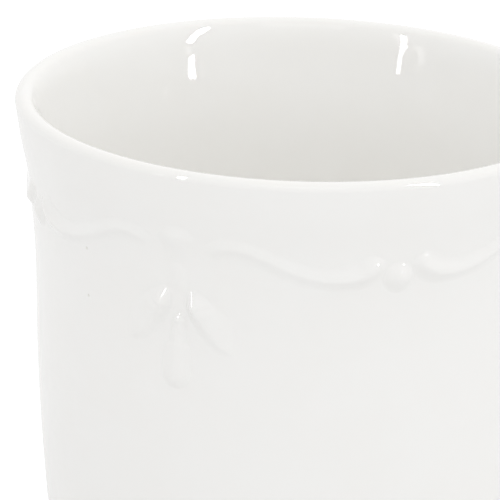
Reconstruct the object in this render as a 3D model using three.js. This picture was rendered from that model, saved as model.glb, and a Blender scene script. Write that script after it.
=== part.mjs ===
// Porcelain pen cup with a relief of swags, beads and tassels round its neck.
// Millimetres, +Z up. The origin is on the desk, under the middle of the cup, and a tassel faces -Y.
import * as THREE from "three";

// Driving dimensions.
const HEIGHT = 93; // desk to the top of the rim
const RIM_RADIUS = 42; // outermost point of the rim
const LIP_ROUND = 1.17; // radius of the lip's outer rounding
const LIP_INNER_ROUND = 1.6; // radius of its inner rounding
const FOOT_HEIGHT = 2; // bare foot ring, below the glaze
const FOOT_OUTER = 27.8;
const FOOT_INNER = 24.4;
const GLAZE_LEDGE = 0.3; // how far the glazed body overhangs the foot ring on either side
const UNDERSIDE_HEIGHT = 2.8; // underside of the floor, above the desk
const UNDERSIDE_RISE = 0.3; // the underside's middle is this much higher
const UNDERSIDE_COVE = 3; // cove from the underside down to the foot ring
const FLOOR_HEIGHT = 6.4; // inside floor, above the desk
const FLOOR_RADIUS = 21; // flat part of the inside floor
const SEGMENTS = 48; // facets round the cup
const REPEATS = 4; // tassels round the cup, with a bead midway between each two

// The relief is laid out flat, in millimetres round the neck and up it, and then wrapped on the wall.
const NECK_RADIUS = 39.7;
const HALF_PITCH = (Math.PI * NECK_RADIUS) / REPEATS; // from a tassel to the next bead
const SPRIG_GAP = 0.1; // slip layer between a sprig and the wall

const LIP_RADIUS = RIM_RADIUS - LIP_ROUND;
const LIP_HEIGHT = HEIGHT - LIP_ROUND;

// Outside of the wall, from the glaze edge at the foot up to the neck: [radius, height].
const OUTER_WALL = [
  [28.5, 2.5],
  [31.6, 6.2],
  [34.3, 13],
  [36.1, 22.5],
  [37.3, 34],
  [38.2, 46.5],
  [38.67, 59],
  [38.97, 69.5],
  [39.55, 76.4],
  [40.3, 82.4],
  [41.45, 88.3],
];
// Inside of the wall, from the lip down to the floor: [radius, height].
const INNER_WALL = [
  [39.27, 91.9],
  [38.75, 90.8],
  [38.36, 89.6],
  [37.95, 88],
  [37.24, 85],
  [36.58, 82],
  [35.91, 78],
  [35.4, 73],
  [35.03, 66],
  [34.7, 40],
  [33.5, 27],
  [31.6, 17],
  [28.9, 10.6],
  [25.2, 7.3],
];

// Materials.
const glaze = new THREE.MeshStandardMaterial({ color: 0xf0efec, roughness: 0.08, metalness: 0 });
const bisque = new THREE.MeshStandardMaterial({ color: 0xe2dccf, roughness: 0.9, metalness: 0 });

const cup = new THREE.Group();

function addMesh(name, geometry, material) {
  const mesh = new THREE.Mesh(geometry, material);
  mesh.name = name;
  cup.add(mesh);
}

// Points of a smooth line through [x, y] pairs.
function smoothLine(pairs, divisions) {
  return new THREE.SplineCurve(pairs.map(([x, y]) => new THREE.Vector2(x, y))).getPoints(divisions);
}

// Points of a round stretch about a centre, from one angle up to another, in degrees.
function arc(x, y, radius, from, to, divisions) {
  const { degToRad } = THREE.MathUtils;
  return new THREE.EllipseCurve(x, y, radius, radius, degToRad(from), degToRad(to)).getPoints(divisions);
}

// A profile of [radius, height] points turned round +Z.
function turned(profile) {
  return new THREE.LatheGeometry(profile, SEGMENTS).rotateX(Math.PI / 2);
}

const outerWall = smoothLine(OUTER_WALL, 15);

// The cup's wall, floor and lip in one piece of porcelain.
function cupBody() {
  return turned([
    new THREE.Vector2(0, UNDERSIDE_HEIGHT + UNDERSIDE_RISE),
    new THREE.Vector2(FOOT_INNER - UNDERSIDE_COVE, UNDERSIDE_HEIGHT),
    new THREE.Vector2(FOOT_INNER - GLAZE_LEDGE, FOOT_HEIGHT),
    new THREE.Vector2(FOOT_OUTER + GLAZE_LEDGE, FOOT_HEIGHT),
    ...outerWall,
    ...arc(LIP_RADIUS, LIP_HEIGHT, LIP_ROUND, 0, 90, 4),
    ...arc(LIP_RADIUS, HEIGHT - LIP_INNER_ROUND, LIP_INNER_ROUND, 100, 148, 2),
    ...smoothLine(INNER_WALL, 13),
    new THREE.Vector2(FLOOR_RADIUS, FLOOR_HEIGHT),
    new THREE.Vector2(0, FLOOR_HEIGHT),
  ]);
}

// The ring that the cup stands on, left bare where it stood in the kiln.
function footRing() {
  const edge = 0.6; // rounding of the ring's lower edges
  const draft = 0.4; // each side leans in by this much over its height
  return turned([
    new THREE.Vector2(FOOT_INNER, FOOT_HEIGHT),
    ...arc(FOOT_INNER + draft + edge, edge, edge, 180, 270, 3),
    ...arc(FOOT_OUTER - draft - edge, edge, edge, 270, 360, 3),
    new THREE.Vector2(FOOT_OUTER, FOOT_HEIGHT),
    new THREE.Vector2(FOOT_INNER, FOOT_HEIGHT),
  ]);
}

// Radius of the wall's outside at a height.
function wallRadius(height) {
  const i = outerWall.findIndex((p) => p.y >= height);
  const below = outerWall[i - 1];
  const above = outerWall[i];
  return THREE.MathUtils.mapLinear(height, below.y, above.y, below.x, above.x);
}

// A point of the flat layout, wrapped on the wall and stood off from it by a height of relief.
function onWall(along, up, relief) {
  const angle = along / NECK_RADIUS;
  const radius = wallRadius(up) + SPRIG_GAP + relief;
  return new THREE.Vector3(radius * Math.sin(angle), -radius * Math.cos(angle), up);
}

// A sprig is a sphere drawn out along a line of the flat layout, with its back pressed flat on the
// wall. Its half widths run along the line, and fullness goes from 1 for an oval to 0 for square ends.
function sprig({ line, halfWidths, relief, fullness = 0.5, around = 8, steps = 8 }) {
  const path = new THREE.SplineCurve(line.map(([x, y]) => new THREE.Vector2(x, y)));
  const widths = new THREE.SplineCurve(halfWidths.map((w, i) => new THREE.Vector2(i, w)));
  const geometry = new THREE.SphereGeometry(1, around, steps);
  const position = geometry.getAttribute("position");
  for (let i = 0; i < position.count; i++) {
    const share = (1 - position.getY(i)) / 2; // 0 where the line starts and 1 where it ends
    const girth = Math.hypot(position.getX(i), position.getZ(i)); // 0 at both ends and 1 midway
    const round = Math.atan2(position.getZ(i), position.getX(i));
    const middle = path.getPoint(share);
    const tangent = path.getTangent(share);
    const end = girth ** fullness;
    const sideways = Math.cos(round) * widths.getPoint(share).y * end;
    const proud = Math.max(Math.sin(round), 0) * relief * end;
    const point = onWall(middle.x - tangent.y * sideways, middle.y + tangent.x * sideways, proud);
    position.setXYZ(i, point.x, point.y, point.z);
  }
  return geometry;
}

// The same sprig on the other side of the tassel's own centre line.
function mirrored(shape) {
  return { ...shape, line: shape.line.map(([x, y]) => [-x, y]) };
}

// An oval boss about the tassel's centre line.
function boss(up, halfWidth, halfHeight, relief) {
  return {
    line: [[-halfWidth, up], [halfWidth, up]],
    halfWidths: [halfHeight, halfHeight],
    relief,
    fullness: 1,
    around: 10,
    steps: 6,
  };
}

// The relief's pieces, as they lie about a tassel's centre line: [round the neck, height]. The drop
// hangs a little askew.
const SWAG = {
  line: [
    [HALF_PITCH - 2.5, 81.6], [27.6, 80.2], [26.2, 79.1], [24, 78.5], [21.8, 78.4], [19.5, 78.7],
    [17.3, 79.3], [15, 80.2], [12.8, 81.2], [10.5, 82.1], [8.2, 82.5], [6, 82.1], [4.6, 81.4],
  ],
  halfWidths: [1, 1.4, 1.3, 1.2, 1.15, 1.15, 1.1, 0.8],
  relief: 0.55,
  around: 6,
  steps: 22,
};
const LEAF = {
  line: [[1.9, 75.1], [2.8, 72.4], [4.7, 69.9], [6.8, 67.6], [8.4, 66.6]],
  halfWidths: [1.2, 1.4, 1.8, 1.9, 1.6],
  relief: 0.9,
};
const DROP = {
  line: [[0.1, 71.3], [-0.25, 66], [-0.6, 60.1]],
  halfWidths: [1, 0.9, 1.6, 2.1, 2.1, 2],
  relief: 0.65,
  around: 10,
  steps: 10,
};
const STEM = {
  line: [[0, 78.6], [0, 75.6]],
  halfWidths: [0.8, 0.8],
  relief: 0.2,
  around: 6,
  steps: 6,
};
const KNOT = boss(82.6, 2.7, 2.5, 0.8);
const BEAD = boss(78.5, 2, 2.1, 0.85);

// One sprig on the wall, turned from the front to its own place round the cup.
function addSprig(name, shape, turn) {
  addMesh(name, sprig(shape).rotateZ(turn), glaze);
}

addMesh("cup_body", cupBody(), glaze);
addMesh("foot_ring", footRing(), bisque);

for (let i = 0; i < REPEATS; i++) {
  const turn = (i * 2 * Math.PI) / REPEATS;
  const n = i + 1;
  addSprig(`knot_${n}`, KNOT, turn);
  addSprig(`tassel_stem_${n}`, STEM, turn);
  addSprig(`tassel_drop_${n}`, DROP, turn);
  addSprig(`tassel_leaf_right_${n}`, LEAF, turn);
  addSprig(`tassel_leaf_left_${n}`, mirrored(LEAF), turn);
  addSprig(`swag_right_${n}`, SWAG, turn);
  addSprig(`swag_left_${n}`, mirrored(SWAG), turn);
  addSprig(`bead_${n}`, BEAD, turn + Math.PI / REPEATS);
}

export default cup;
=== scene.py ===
"""White porcelain pen cup with a relief of swags, beads and tassels: its looks, built round the frame.

Outlines are in millimetres, in the frame's own axes, and become metres when a mesh is made.
"""
import math

import bpy
import numpy as np
from mathutils import Matrix, Vector


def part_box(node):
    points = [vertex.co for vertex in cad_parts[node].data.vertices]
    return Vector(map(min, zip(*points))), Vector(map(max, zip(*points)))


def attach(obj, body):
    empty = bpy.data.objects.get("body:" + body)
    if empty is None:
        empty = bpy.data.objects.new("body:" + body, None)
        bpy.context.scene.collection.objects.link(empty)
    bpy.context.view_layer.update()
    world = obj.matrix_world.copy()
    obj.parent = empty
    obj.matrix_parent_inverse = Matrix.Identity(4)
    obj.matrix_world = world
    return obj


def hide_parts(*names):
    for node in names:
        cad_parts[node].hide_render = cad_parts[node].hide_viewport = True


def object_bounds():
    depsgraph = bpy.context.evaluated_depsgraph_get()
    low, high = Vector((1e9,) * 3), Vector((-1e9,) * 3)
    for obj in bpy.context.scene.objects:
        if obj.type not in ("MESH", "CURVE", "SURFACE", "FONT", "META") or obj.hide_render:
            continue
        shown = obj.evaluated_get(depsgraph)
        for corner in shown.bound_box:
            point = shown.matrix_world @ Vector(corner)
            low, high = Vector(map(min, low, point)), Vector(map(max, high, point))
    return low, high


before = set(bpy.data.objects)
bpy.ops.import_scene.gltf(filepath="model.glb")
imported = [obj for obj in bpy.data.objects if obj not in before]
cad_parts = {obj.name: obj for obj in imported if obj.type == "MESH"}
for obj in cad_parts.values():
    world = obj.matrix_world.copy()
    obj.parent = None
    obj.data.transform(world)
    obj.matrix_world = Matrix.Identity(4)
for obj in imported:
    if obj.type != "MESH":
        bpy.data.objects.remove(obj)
cad_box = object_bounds()
scene = bpy.context.scene

MM = 0.001

# Sizes from the frame.
HEIGHT = cad_box[1].z / MM
RIM_RADIUS = cad_box[1].x / MM
FOOT_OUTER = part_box("foot_ring")[1].x / MM
FOOT_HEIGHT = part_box("foot_ring")[1].z / MM

# The wall, as the frame's cup_body has it: [radius, height].
LIP_ROUND = 1.17
LIP_INNER_ROUND = 1.6
FOOT_INNER = 24.4
GLAZE_LEDGE = 0.3
UNDERSIDE_HEIGHT = 2.8
UNDERSIDE_RISE = 0.3
UNDERSIDE_COVE = 3
FLOOR_HEIGHT = 6.4
FLOOR_RADIUS = 21
FLOOR_SAG = 0.1  # the inside floor's middle is this much lower
GLAZE_EDGE_ROUND = 0.35  # rounding of the glaze's edge over the foot ring
FOOT_EDGE_ROUND = 0.5  # rounding of the foot ring's lower edges
FOOT_DRAFT = 0.4  # each side of the ring leans in by this much over its height
FOOT_OVERLAP = 0.2  # how far the ring goes up into the glazed body
LIP_RADIUS = RIM_RADIUS - LIP_ROUND
LIP_HEIGHT = HEIGHT - LIP_ROUND
OUTER_WALL = [
    (28.5, 2.5),
    (31.6, 6.2),
    (34.3, 13),
    (36.1, 22.5),
    (37.3, 34),
    (38.2, 46.5),
    (38.67, 59),
    (38.97, 69.5),
    (39.55, 76.4),
    (40.3, 82.4),
    (41.45, 88.3),
]
INNER_WALL = [
    (39.27, 91.9),
    (38.75, 90.8),
    (38.36, 89.6),
    (37.95, 88),
    (37.24, 85),
    (36.58, 82),
    (35.91, 78),
    (35.4, 73),
    (35.03, 66),
    (34.7, 40),
    (33.5, 27),
    (31.6, 17),
    (28.9, 10.6),
    (25.2, 7.3),
]

# The relief is laid out flat, round the neck and up it, and then wrapped on the wall.
REPEATS = 4  # tassels round the cup, with a bead midway between each two
NECK_RADIUS = 39.7
HALF_PITCH = math.pi * NECK_RADIUS / REPEATS  # from a tassel to the next bead
SEAM = 0.01  # how far a sprig's feathered edge stands off the wall
SKIRT = 0.5  # how deep a sprig's edge is sunk into the wall

COLUMNS = 384  # faces round the cup
INNERMOST = 0.6  # radius of the ring of points nearest the axis
PATH_POINTS = 400  # points of the line that a sprig follows
TIP = 0.02  # how near a sprig's end stations come to its tips, as an angle


# Curves

def smooth_line(points, count, start=None, end=None):
    """Points of a cubic spline through the given ones, with its end directions where they are given."""
    p = np.array(points, float)
    s = np.concatenate([[0], np.cumsum(np.linalg.norm(np.diff(p, axis=0), axis=1))])
    h = np.diff(s)
    n = len(p)
    a = np.zeros((n, n))
    b = np.zeros((n, p.shape[1]))
    for i in range(1, n - 1):
        a[i, i - 1 : i + 2] = 1 / h[i - 1], 2 / h[i - 1] + 2 / h[i], 1 / h[i]
        b[i] = 3 * ((p[i] - p[i - 1]) / h[i - 1] ** 2 + (p[i + 1] - p[i]) / h[i] ** 2)
    for i, j, given in ((0, 1, start), (n - 1, n - 2, end)):
        k = min(i, j)
        if given is None:
            a[i, i], a[i, j] = 2, 1
            b[i] = 3 * (p[k + 1] - p[k]) / h[k]
        else:
            a[i, i] = 1
            b[i] = given
    slope = np.linalg.solve(a, b)
    at = np.linspace(0, s[-1], count)
    k = np.clip(np.searchsorted(s, at, side="right") - 1, 0, n - 2)
    t = ((at - s[k]) / h[k])[:, None]
    w = h[k][:, None]
    return (
        (2 * t**3 - 3 * t**2 + 1) * p[k]
        + (t**3 - 2 * t**2 + t) * w * slope[k]
        + (3 * t**2 - 2 * t**3) * p[k + 1]
        + (t**3 - t**2) * w * slope[k + 1]
    )


def arc(centre, radius, first, last, count):
    """Points of a round stretch, between two angles in degrees."""
    a = np.radians(np.linspace(first, last, count))
    return np.stack([centre[0] + radius * np.cos(a), centre[1] + radius * np.sin(a)], 1)


# Meshes

def add_piece(name, points, faces, material, replaced):
    """A piece made of points in millimetres, which stands for a node of the frame."""
    mesh = bpy.data.meshes.new(name)
    mesh.from_pydata((np.array(points) * MM).tolist(), [], faces)
    mesh.polygons.foreach_set("use_smooth", [True] * len(mesh.polygons))
    mesh.set_sharp_from_angle(angle=math.radians(50))
    mesh.materials.append(material)
    piece = bpy.data.objects.new(name, mesh)
    scene.collection.objects.link(piece)
    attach(piece, "root")
    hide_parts(replaced)
    return piece


def turned(profile):
    """Points and faces of a profile turned round +Z. It starts and ends on the axis, or closes on itself."""
    on_axis = profile[0][0] == 0
    rings = profile[1:-1] if on_axis else profile[:-1]
    count = len(rings)
    a = np.linspace(0, 2 * math.pi, COLUMNS, endpoint=False)
    x = rings[:, :1] * np.cos(a)
    y = rings[:, :1] * np.sin(a)
    z = np.repeat(rings[:, 1:], COLUMNS, 1)
    points = np.stack([x, y, z], 2).reshape(-1, 3)
    faces = []
    for i in range(count - 1 if on_axis else count):
        below = i * COLUMNS
        above = (i + 1) % count * COLUMNS
        for j in range(COLUMNS):
            k = (j + 1) % COLUMNS
            faces.append((below + j, below + k, above + k, above + j))
    if on_axis:
        first = len(points)
        last = first + 1
        points = np.concatenate([points, [(0, 0, profile[0][1]), (0, 0, profile[-1][1])]])
        top = (count - 1) * COLUMNS
        for j in range(COLUMNS):
            k = (j + 1) % COLUMNS
            faces.append((first, k, j))
            faces.append((last, top + j, top + k))
    return points, faces


outer_line = smooth_line(OUTER_WALL, 160, end=(0.12, 1))


def wall_radius(up):
    """Radius of the wall's outside at a height."""
    return np.interp(up, outer_line[:, 1], outer_line[:, 0])


def underside():
    """Line of the shallow dome under the floor, from near the middle down to the foot ring."""
    top = UNDERSIDE_HEIGHT + UNDERSIDE_RISE
    dome = [
        (INNERMOST, top),
        (12, UNDERSIDE_HEIGHT + 0.7 * UNDERSIDE_RISE),
        (FOOT_INNER - UNDERSIDE_COVE, UNDERSIDE_HEIGHT),
        (FOOT_INNER - GLAZE_LEDGE, FOOT_HEIGHT),
    ]
    return np.concatenate([[(0, top)], smooth_line(dome, 40, start=(1, 0))])


def glaze_edge():
    """The glaze's rounded edge over the foot ring."""
    middle = (FOOT_OUTER + GLAZE_LEDGE - GLAZE_EDGE_ROUND, FOOT_HEIGHT + GLAZE_EDGE_ROUND)
    return arc(middle, GLAZE_EDGE_ROUND, -90, -20, 8)


def lip():
    """The lip, rounded outwards and, more gently, inwards."""
    outer = arc((LIP_RADIUS, LIP_HEIGHT), LIP_ROUND, 0, 90, 20)
    inner = arc((LIP_RADIUS, HEIGHT - LIP_INNER_ROUND), LIP_INNER_ROUND, 93, 148, 16)
    return np.concatenate([outer, inner])


def inside_floor():
    """Line of the inside floor, from the bottom of the wall to the middle, which is a little lower."""
    low = FLOOR_HEIGHT - FLOOR_SAG
    dish = [(24.9, 7.18), (23, 6.66), (FLOOR_RADIUS, FLOOR_HEIGHT), (14, low), (INNERMOST, low)]
    return np.concatenate([smooth_line(dish, 40), [(0, low)]])


def cup_body(material):
    """The cup's wall, floor and lip in one turned piece."""
    inner_line = smooth_line(INNER_WALL, 180, start=(-0.49, -0.87), end=(-1, -0.2))
    profile = [underside(), glaze_edge(), outer_line, lip(), inner_line, inside_floor()]
    points, faces = turned(np.concatenate(profile))
    return add_piece("cup_shell", points, faces, material, "cup_body")


def foot_ring(material):
    """The bare ring that the cup stands on."""
    edge = FOOT_EDGE_ROUND
    inner = FOOT_INNER + FOOT_DRAFT + edge
    outer = FOOT_OUTER - FOOT_DRAFT - edge
    top = FOOT_HEIGHT + FOOT_OVERLAP
    profile = [
        [(FOOT_INNER, top)],
        arc((inner, edge), edge, 180, 270, 8),
        arc((outer, edge), edge, 270, 360, 8),
        [(FOOT_OUTER, top), (FOOT_INNER, top)],
    ]
    points, faces = turned(np.concatenate(profile))
    return add_piece("bare_foot", points, faces, material, "foot_ring")


def eased(values, share):
    """Values set evenly along a line, read off smoothly at shares of its length."""
    if len(values) == 1:
        return np.full(len(share), float(values[0]))
    curve = smooth_line([(i / (len(values) - 1), x) for i, x in enumerate(values)], 200)
    return np.interp(share, curve[:, 0], curve[:, 1])


def followed(line, share):
    """Points at shares of a line's length, the upward directions across it there, and its length."""
    path = smooth_line(line, PATH_POINTS)
    length = np.linalg.norm(np.diff(path, axis=0), axis=1).sum()
    even = np.linspace(0, 1, len(path))
    slope = np.gradient(path, axis=0)
    middle = np.stack([np.interp(share, even, path[:, k]) for k in (0, 1)], 1)
    tangent = np.stack([np.interp(share, even, slope[:, k]) for k in (0, 1)], 1)
    tangent /= np.linalg.norm(tangent, axis=1)[:, None]
    upward = np.stack([-tangent[:, 1], tangent[:, 0]], 1)
    upward[upward[:, 1] < -1e-6] *= -1
    return middle, upward, length


def tube_faces(stations, ring):
    """Faces between rings of points, one ring for each station, with a face across each end."""
    faces = []
    for i in range(stations - 1):
        for j in range(ring):
            k = (j + 1) % ring
            faces.append((i * ring + j, i * ring + k, (i + 1) * ring + k, (i + 1) * ring + j))
    faces.append(tuple(range(ring)))
    faces.append(tuple((stations - 1) * ring + j for j in reversed(range(ring))))
    return faces


def sprig(name, shape, turn, material):
    """A relief piece on the wall, turned from the front to its own place round the cup.

    It is a rounded strip along a line of the flat layout, with its edges sunk in the wall.
    """
    stations = shape.get("stations", 72)
    across = shape.get("across", 49)
    reach = -np.cos(np.linspace(TIP, math.pi - TIP, stations))  # -1 at the line's start, 1 at its end
    share = (reach + 1) / 2
    middle, upward, length = followed(shape["line"], share)

    above = eased(shape["above"], share)[:, None]
    below = eased(shape.get("below", shape["above"]), share)[:, None]
    blunt = shape.get("blunt", max(2, length / np.mean(above + below) * 2))  # 2 for an oval, more for a strip
    end = 1 - np.abs(reach[:, None]) ** blunt
    v = np.linspace(-1, 1, across)  # -1 at the lower edge, 0 along the crest and 1 at the upper edge
    side = np.where(v > 0, above, below) * v * np.sqrt(end)
    crest = shape.get("crest", 0.3)  # how broadly the crest is rounded
    fall = (math.hypot(1, crest) - np.hypot(v, crest)) / (math.hypot(1, crest) - crest)
    proud = SEAM + eased(shape["relief"], share)[:, None] * (end * fall) ** shape.get("feather", 2)
    along = middle[:, :1] + upward[:, :1] * side
    up = middle[:, 1:] + upward[:, 1:] * side

    # Two sunk points close each station's section.
    sunk = [across - 1, 0]
    along = np.concatenate([along, along[:, sunk]], 1)
    up = np.concatenate([up, up[:, sunk]], 1)
    proud = np.concatenate([proud, np.full((stations, 2), -SKIRT)], 1)

    angle = along / NECK_RADIUS + turn - math.pi / 2
    radius = wall_radius(up) + proud
    points = np.stack([radius * np.cos(angle), radius * np.sin(angle), up], 2).reshape(-1, 3)
    ring = across + 2
    faces = tube_faces(stations, ring)
    # The faces look outwards, whichever way the line runs.
    probe = (stations // 2) * ring + across // 2
    facing = np.cross(points[probe + 1] - points[probe], points[probe + ring] - points[probe])
    if facing @ (points[probe] * (1, 1, 0)) < 0:
        faces = [tuple(reversed(f)) for f in faces]
    return add_piece("relief_" + name, points, faces, material, name)


def mirrored(shape):
    """The same sprig on the other side of the tassel's own centre line."""
    return {**shape, "line": [(-x, y) for x, y in shape["line"]]}


# The relief's pieces, as they lie about a tassel's centre line: [round the neck, height]. Widths above
# and below the crest, and the relief, run evenly along the line. The drop hangs a little askew.
SWAG = {
    "line": [
        (HALF_PITCH - 2.5, 81.6),
        (27.6, 80.2),
        (26.2, 79.1),
        (24, 78.5),
        (21.8, 78.4),
        (19.5, 78.7),
        (17.3, 79.3),
        (15, 80.2),
        (12.8, 81.2),
        (10.5, 82.1),
        (8.2, 82.5),
        (6, 82.1),
        (4, 81),
    ],
    "above": [2.8, 2.5, 2, 1.8, 1.7, 1.7, 1.7],
    "below": [2.3, 2, 1.7, 1.7, 1.7, 1.7, 1.7],
    "relief": [1.1, 0.8, 0.5, 0.4, 0.38, 0.36, 0.25],
    "crest": 0.25,
    "feather": 1.8,
    "stations": 150,
}
LEAF = {
    "line": [(1.7, 75.4), (2.8, 72.2), (4.7, 69.7), (6.8, 67.4), (8.6, 66.4)],
    "above": [3, 3.2, 3.5, 3.5, 3],
    "below": [1.3, 1.5, 1.8, 1.8, 1.6],
    "relief": [2, 2, 1.6, 0.95, 0.6, 0.5, 0.55, 0.7, 0.8],
    "crest": 0.6,
    "feather": 1.7,
    "blunt": 2.6,
}
DROP = {
    "line": [(0.1, 71.5), (-0.25, 66), (-0.6, 60)],
    "above": [1.5, 1.4, 1.2, 1.3, 1.75, 2.15, 2.3, 2.35, 2.35, 2.3, 2.2],
    "relief": [1.2, 0.85, 0.5, 0.46, 0.52, 0.58, 0.6, 0.62, 0.62, 0.62, 0.6],
    "crest": 1,
    "feather": 1.3,
    "blunt": 6,
    "stations": 96,
}
STEM = {"line": [(0, 79.5), (0, 77), (0, 74.5)], "above": [1.8], "relief": [0.2], "crest": 0.6}
KNOT = {
    "line": [(-2.9, 82.9), (0, 82.9), (2.9, 82.9)],
    "above": [2.1],
    "below": [4.2],
    "relief": [0.55],
    "crest": 0.45,
    "feather": 2,
}
BEAD = {
    "line": [(-2.35, 78.5), (0, 78.5), (2.35, 78.5)],
    "above": [2.4],
    "relief": [0.85],
    "crest": 1,
    "feather": 1.5,
}


# Materials. Their patterns are laid in the frame's own space, in metres.

WHITE_GLAZE = (0.945, 0.94, 0.924)
WARM_GLAZE = (0.94, 0.933, 0.914)
POOLED_GLAZE = (0.905, 0.905, 0.868)
THIN_GLAZE = (0.95, 0.938, 0.91)
PINHOLE = (0.83, 0.815, 0.77)
SPECK = (0.5, 0.45, 0.37)
BISQUE = (0.74, 0.70, 0.62)
BISQUE_GRAIN = (0.64, 0.595, 0.515)
BISQUE_WORN = (0.56, 0.54, 0.5)
GLAZE_IOR = 1.52
LIP_THINNING = 1.2  # the glaze is thin on this much of the lip


def shader(name):
    """A new material, its node tree and its shader."""
    material = bpy.data.materials.new(name)
    material.use_nodes = True
    tree = material.node_tree
    return material, tree, tree.nodes["Principled BSDF"]


def noise(tree, scale, detail, roughness=0.5):
    """A soft random pattern, from 0 to 1. Its scale is in waves to a metre."""
    where = tree.nodes.new("ShaderNodeTexCoord")
    texture = tree.nodes.new("ShaderNodeTexNoise")
    texture.inputs["Scale"].default_value = scale
    texture.inputs["Detail"].default_value = detail
    texture.inputs["Roughness"].default_value = roughness
    tree.links.new(where.outputs["Object"], texture.inputs["Vector"])
    return texture.outputs["Fac"]


def spread(tree, value, low, high, first=0.3, last=0.7):
    """A value that runs from first to last, eased to run from low to high."""
    node = tree.nodes.new("ShaderNodeMapRange")
    node.interpolation_type = "SMOOTHSTEP"
    node.inputs["From Min"].default_value = first
    node.inputs["From Max"].default_value = last
    node.inputs["To Min"].default_value = low
    node.inputs["To Max"].default_value = high
    tree.links.new(value, node.inputs["Value"])
    return node.outputs["Result"]


def by_height(tree, low, high, first, last):
    """A share that goes from low to high between two heights, given in millimetres."""
    where = tree.nodes.new("ShaderNodeTexCoord")
    split = tree.nodes.new("ShaderNodeSeparateXYZ")
    tree.links.new(where.outputs["Object"], split.inputs["Vector"])
    return spread(tree, split.outputs["Z"], low, high, first * MM, last * MM)


def product(tree, first, second):
    """Two values multiplied."""
    node = tree.nodes.new("ShaderNodeMath")
    node.operation = "MULTIPLY"
    tree.links.new(first, node.inputs[0])
    tree.links.new(second, node.inputs[1])
    return node.outputs["Value"]


def specks(tree, spacing, size, rarity):
    """1 in a few small spots and 0 elsewhere. Spacing and size are in millimetres."""
    where = tree.nodes.new("ShaderNodeTexCoord")
    cells = tree.nodes.new("ShaderNodeTexVoronoi")
    cells.inputs["Scale"].default_value = 1 / (spacing * MM)
    tree.links.new(where.outputs["Object"], cells.inputs["Vector"])
    split = tree.nodes.new("ShaderNodeSeparateColor")
    tree.links.new(cells.outputs["Color"], split.inputs["Color"])
    chosen = spread(tree, split.outputs["Red"], 0, 1, rarity, rarity + 0.001)
    near = spread(tree, cells.outputs["Distance"], 1, 0, 0.5 * size / spacing, size / spacing)
    return product(tree, chosen, near)


def blend_colours(tree, factor, first, second):
    """A blend of two colours, of which the first may be another blend."""
    node = tree.nodes.new("ShaderNodeMix")
    node.data_type = "RGBA"
    if isinstance(first, tuple):
        node.inputs["A"].default_value = (*first, 1)
    else:
        tree.links.new(first, node.inputs["A"])
    node.inputs["B"].default_value = (*second, 1)
    tree.links.new(factor, node.inputs["Factor"])
    return node.outputs["Result"]


def bump(tree, relief, strength, distance, under=None):
    """A normal with a fine relief, on top of another one where it is given."""
    node = tree.nodes.new("ShaderNodeBump")
    node.inputs["Strength"].default_value = strength
    node.inputs["Distance"].default_value = distance
    tree.links.new(relief, node.inputs["Height"])
    if under is not None:
        tree.links.new(under, node.inputs["Normal"])
    return node.outputs["Normal"]


def porcelain_glaze():
    """White glaze: a little mottled, pooled towards the foot, thin on the lip, with a few pinholes."""
    material, tree, bsdf = shader("porcelain_glaze")
    mottle = spread(tree, noise(tree, scale=90, detail=3), 0, 1)
    mottled = blend_colours(tree, mottle, WHITE_GLAZE, WARM_GLAZE)

    runs = spread(tree, noise(tree, scale=45, detail=2), 0.35, 1)
    pool = product(tree, by_height(tree, 1, 0, first=3, last=17), runs)
    pooled = blend_colours(tree, pool, mottled, POOLED_GLAZE)

    patches = spread(tree, noise(tree, scale=140, detail=2), 0.2, 1)
    thin = product(tree, by_height(tree, 0, 1, first=HEIGHT - LIP_THINNING, last=HEIGHT), patches)
    thinned = blend_colours(tree, thin, pooled, THIN_GLAZE)

    spots = specks(tree, spacing=4, size=0.3, rarity=0.97)
    tree.links.new(blend_colours(tree, spots, thinned, PINHOLE), bsdf.inputs["Base Color"])
    tree.links.new(spread(tree, noise(tree, scale=60, detail=2), 0.02, 0.04), bsdf.inputs["Roughness"])
    bsdf.inputs["IOR"].default_value = GLAZE_IOR
    ripple = bump(tree, noise(tree, scale=350, detail=1), strength=0.03, distance=0.0005)
    pits = spread(tree, spots, 1, 0, first=0, last=1)
    pitted = bump(tree, pits, strength=0.5, distance=0.0001, under=ripple)
    tree.links.new(pitted, bsdf.inputs["Normal"])
    return material


def bare_porcelain():
    """Unglazed porcelain: grainy, dry, and worn grey where it stands on the desk."""
    material, tree, bsdf = shader("bare_porcelain")
    grain = spread(tree, noise(tree, scale=2500, detail=4, roughness=0.7), 0, 1)
    grainy = blend_colours(tree, grain, BISQUE, BISQUE_GRAIN)

    rubs = spread(tree, noise(tree, scale=260, detail=4, roughness=0.65), 0, 1)
    wear = product(tree, by_height(tree, 1, 0, first=0, last=0.7), rubs)
    worn = blend_colours(tree, wear, grainy, BISQUE_WORN)

    spots = specks(tree, spacing=2.5, size=0.3, rarity=0.8)
    tree.links.new(blend_colours(tree, spots, worn, SPECK), bsdf.inputs["Base Color"])
    tree.links.new(spread(tree, noise(tree, scale=500, detail=3), 0.72, 0.92), bsdf.inputs["Roughness"])
    coarse = bump(tree, noise(tree, scale=700, detail=2), strength=0.3, distance=0.0003)
    fine = bump(tree, noise(tree, scale=4000, detail=3), strength=0.4, distance=0.0002, under=coarse)
    tree.links.new(fine, bsdf.inputs["Normal"])
    return material


# Camera, light and floor

CAMERA_AZIMUTH = math.radians(24.3)
CAMERA_ELEVATION = math.radians(17.18)
CAMERA_DISTANCE = 490.1
CAMERA_ROLL = math.radians(1.63)
CAMERA_LENS = 240.4
CAMERA_SENSOR = 36
AIM_RIGHT = -7.0
AIM_UP = -23.49

LIGHT_DISTANCE = 1300
STRIP_SOFT = 11  # radiance of a strip light's dimmer stretch
STRIP_BRIGHT = 70
GHOST = 1.5  # radiance of the faint strips beside the bright ones
FRONT = 0.75

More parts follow.
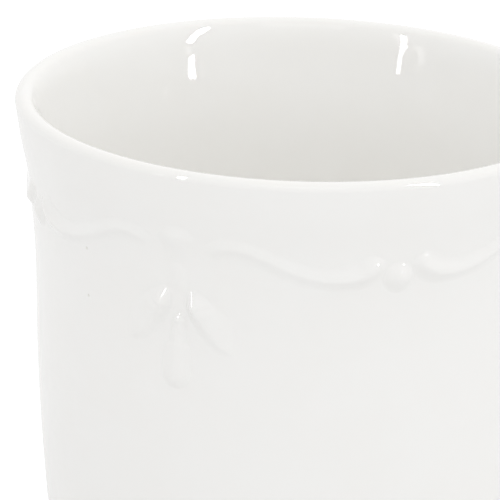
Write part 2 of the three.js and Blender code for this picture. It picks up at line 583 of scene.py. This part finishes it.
SKY = 0.94
SKY_RIGHT = 0.1
SKY_BACK = 0.05
SKY_UP = 0.05
BACKDROP = 1.05

FLOOR_SIZE = 8  # metres
FLOOR_GREY = 0.93
FLOOR_LIFT = 0.2  # glow that keeps the paper white
BOUNCE_GREY = 0.84
BOUNCE_GLOW = 0.12
BOUNCE_DROP = 0.0002  # metres below the paper

BOUNCES = 12
MAX_BOUNCES = 16


def round_the_cup(azimuth, elevation, distance):
    """A point in metres, as seen from the middle of the rim: azimuth 0 is towards -Y, and 90 towards +X."""
    level = distance * math.cos(elevation)
    up = LIP_HEIGHT + distance * math.sin(elevation)
    return Vector((level * math.sin(azimuth), -level * math.cos(azimuth), up)) * MM


def from_the_camera(right, back, up):
    """A direction or place given to the camera's right, away from it and up, in the frame's own axes."""
    return Vector(
        (
            right * math.cos(CAMERA_AZIMUTH) - back * math.sin(CAMERA_AZIMUTH),
            right * math.sin(CAMERA_AZIMUTH) + back * math.cos(CAMERA_AZIMUTH),
            up,
        )
    )


def add_camera():
    """The camera, which looks a little to the left of the cup's middle and below the rim."""
    data = bpy.data.cameras.new("camera")
    data.sensor_width = CAMERA_SENSOR
    data.lens = CAMERA_LENS
    data.clip_start = 0.01
    camera = bpy.data.objects.new("camera", data)
    place = round_the_cup(CAMERA_AZIMUTH, CAMERA_ELEVATION, CAMERA_DISTANCE)
    aim = from_the_camera(AIM_RIGHT, 0, LIP_HEIGHT + AIM_UP) * MM
    forward = (aim - place).normalized()
    right = forward.cross(Vector((0, 0, 1))).normalized()
    right.rotate(Matrix.Rotation(-CAMERA_ROLL, 3, forward))
    up = right.cross(forward)
    turn = Matrix((right, up, -forward)).transposed()
    camera.matrix_world = Matrix.Translation(place) @ turn.to_4x4()
    scene.collection.objects.link(camera)
    scene.camera = camera


def add_softbox(name, first, last, width, radiance, diffuse=False):
    """A strip light that faces the rim, and shows only in the glaze unless it is diffuse as well.

    Its ends are (azimuth, elevation) in degrees, with azimuth from the camera's, to the right.
    """
    ends = [
        round_the_cup(CAMERA_AZIMUTH + math.radians(azimuth), math.radians(elevation), LIGHT_DISTANCE)
        for azimuth, elevation in (first, last)
    ]
    middle = Vector((0, 0, LIP_HEIGHT * MM))
    place = (ends[0] + ends[1]) / 2
    out = (place - middle).normalized()
    along = (ends[1] - ends[0]).normalized()
    data = bpy.data.lights.new(name, "AREA")
    data.shape = "RECTANGLE"
    data.size = width * MM
    data.size_y = (ends[1] - ends[0]).length
    data.energy = radiance * math.pi * data.size * data.size_y
    light = bpy.data.objects.new(name, data)
    turn = Matrix((along.cross(out), along, out)).transposed()
    light.matrix_world = Matrix.Translation(place) @ turn.to_4x4()
    light.visible_camera = False
    light.visible_diffuse = diffuse
    scene.collection.objects.link(light)


def add_lights():
    """Two tall strip lights with their faint neighbours, and a broad softbox high in front."""
    add_softbox("strip_left", (-44.9, 8.3), (-46.6, 17.5), 46, STRIP_SOFT)
    add_softbox("strip_left_high", (-46.6, 17.5), (-50.4, 38), 56, STRIP_BRIGHT)
    add_softbox("strip_left_branch", (-45.5, 18), (-46.9, 42), 50, GHOST)
    add_softbox("strip_right", (52.6, 3.6), (53.5, 8.3), 68, STRIP_BRIGHT)
    add_softbox("strip_right_faint", (54, 9), (54.5, 13), 60, GHOST)
    add_softbox("strip_right_high", (53.6, 17), (51.3, 42), 78, STRIP_BRIGHT)
    add_softbox("strip_left_ghost", (-55.5, 8), (-54.7, 23), 80, GHOST)
    add_softbox("front", (0, 42), (0, 58), 700, FRONT, diffuse=True)


def floor_plane(name, depth, grey, glow):
    """A floor with its material. It is dull, and glows a little by itself."""
    bpy.ops.mesh.primitive_plane_add(size=FLOOR_SIZE, location=(0, 0, -depth))
    floor = bpy.context.object
    floor.name = name
    material, tree, bsdf = shader(name)
    bsdf.inputs["Base Color"].default_value = (grey, grey, grey, 1)
    bsdf.inputs["Roughness"].default_value = 0.9
    bsdf.inputs["Emission Color"].default_value = (1, 1, 1, 1)
    bsdf.inputs["Emission Strength"].default_value = glow
    floor.data.materials.append(material)
    return floor, tree, bsdf


def add_paper():
    """The white paper that the camera sees."""
    paper, _, _ = floor_plane("floor_paper", 0, FLOOR_GREY, FLOOR_LIFT)
    paper.visible_diffuse = False
    paper.visible_glossy = False
    paper.visible_shadow = False


def add_bounce():
    """The duller floor that the cup is lit by and mirrors, which glows more behind the cup."""
    bounce, tree, bsdf = floor_plane("floor_bounce", BOUNCE_DROP, BOUNCE_GREY, BOUNCE_GLOW)
    where = tree.nodes.new("ShaderNodeTexCoord")
    depth = tree.nodes.new("ShaderNodeVectorMath")
    depth.operation = "DOT_PRODUCT"
    depth.inputs[1].default_value = from_the_camera(0, 1, 0)
    tree.links.new(where.outputs["Object"], depth.inputs[0])
    glow = spread(tree, depth.outputs["Value"], 0, BOUNCE_GLOW, first=-0.03, last=0.12)
    tree.links.new(glow, bsdf.inputs["Emission Strength"])
    bounce.visible_camera = False


def add_world():
    """Soft light from all round, a little stronger from the right, from behind the cup and from above.

    The camera sees the world as a white backdrop.
    """
    world = bpy.data.worlds.new("studio")
    world.use_nodes = True
    tree = world.node_tree
    back = tree.nodes["Background"]
    back.inputs["Color"].default_value = (1, 1, 1, 1)
    where = tree.nodes.new("ShaderNodeTexCoord")
    side = tree.nodes.new("ShaderNodeVectorMath")
    side.operation = "DOT_PRODUCT"
    side.inputs[1].default_value = from_the_camera(SKY_RIGHT, SKY_BACK, SKY_UP)
    tree.links.new(where.outputs["Generated"], side.inputs[0])
    total = tree.nodes.new("ShaderNodeMath")
    total.operation = "ADD"
    total.inputs[0].default_value = SKY
    tree.links.new(side.outputs["Value"], total.inputs[1])
    ray = tree.nodes.new("ShaderNodeLightPath")
    pick = tree.nodes.new("ShaderNodeMix")
    pick.inputs["B"].default_value = BACKDROP
    tree.links.new(ray.outputs["Is Camera Ray"], pick.inputs["Factor"])
    tree.links.new(total.outputs["Value"], pick.inputs["A"])
    tree.links.new(pick.outputs["Result"], back.inputs["Strength"])
    scene.world = world


def add_relief(material):
    """The sprigs of each tassel, with the swags on both its sides and the bead after it."""
    for i in range(REPEATS):
        turn = i * 2 * math.pi / REPEATS
        n = i + 1
        sprig(f"knot_{n}", KNOT, turn, material)
        sprig(f"tassel_stem_{n}", STEM, turn, material)
        sprig(f"tassel_drop_{n}", DROP, turn, material)
        sprig(f"tassel_leaf_right_{n}", LEAF, turn, material)
        sprig(f"tassel_leaf_left_{n}", mirrored(LEAF), turn, material)
        sprig(f"swag_right_{n}", SWAG, turn, material)
        sprig(f"swag_left_{n}", mirrored(SWAG), turn, material)
        sprig(f"bead_{n}", BEAD, turn + math.pi / REPEATS, material)


add_camera()
add_world()
add_paper()
add_bounce()
add_lights()
scene.view_settings.view_transform = "Standard"
scene.cycles.max_bounces = MAX_BOUNCES
scene.cycles.diffuse_bounces = BOUNCES
scene.cycles.glossy_bounces = BOUNCES

glaze = porcelain_glaze()
cup_body(glaze)
foot_ring(bare_porcelain())
add_relief(glaze)
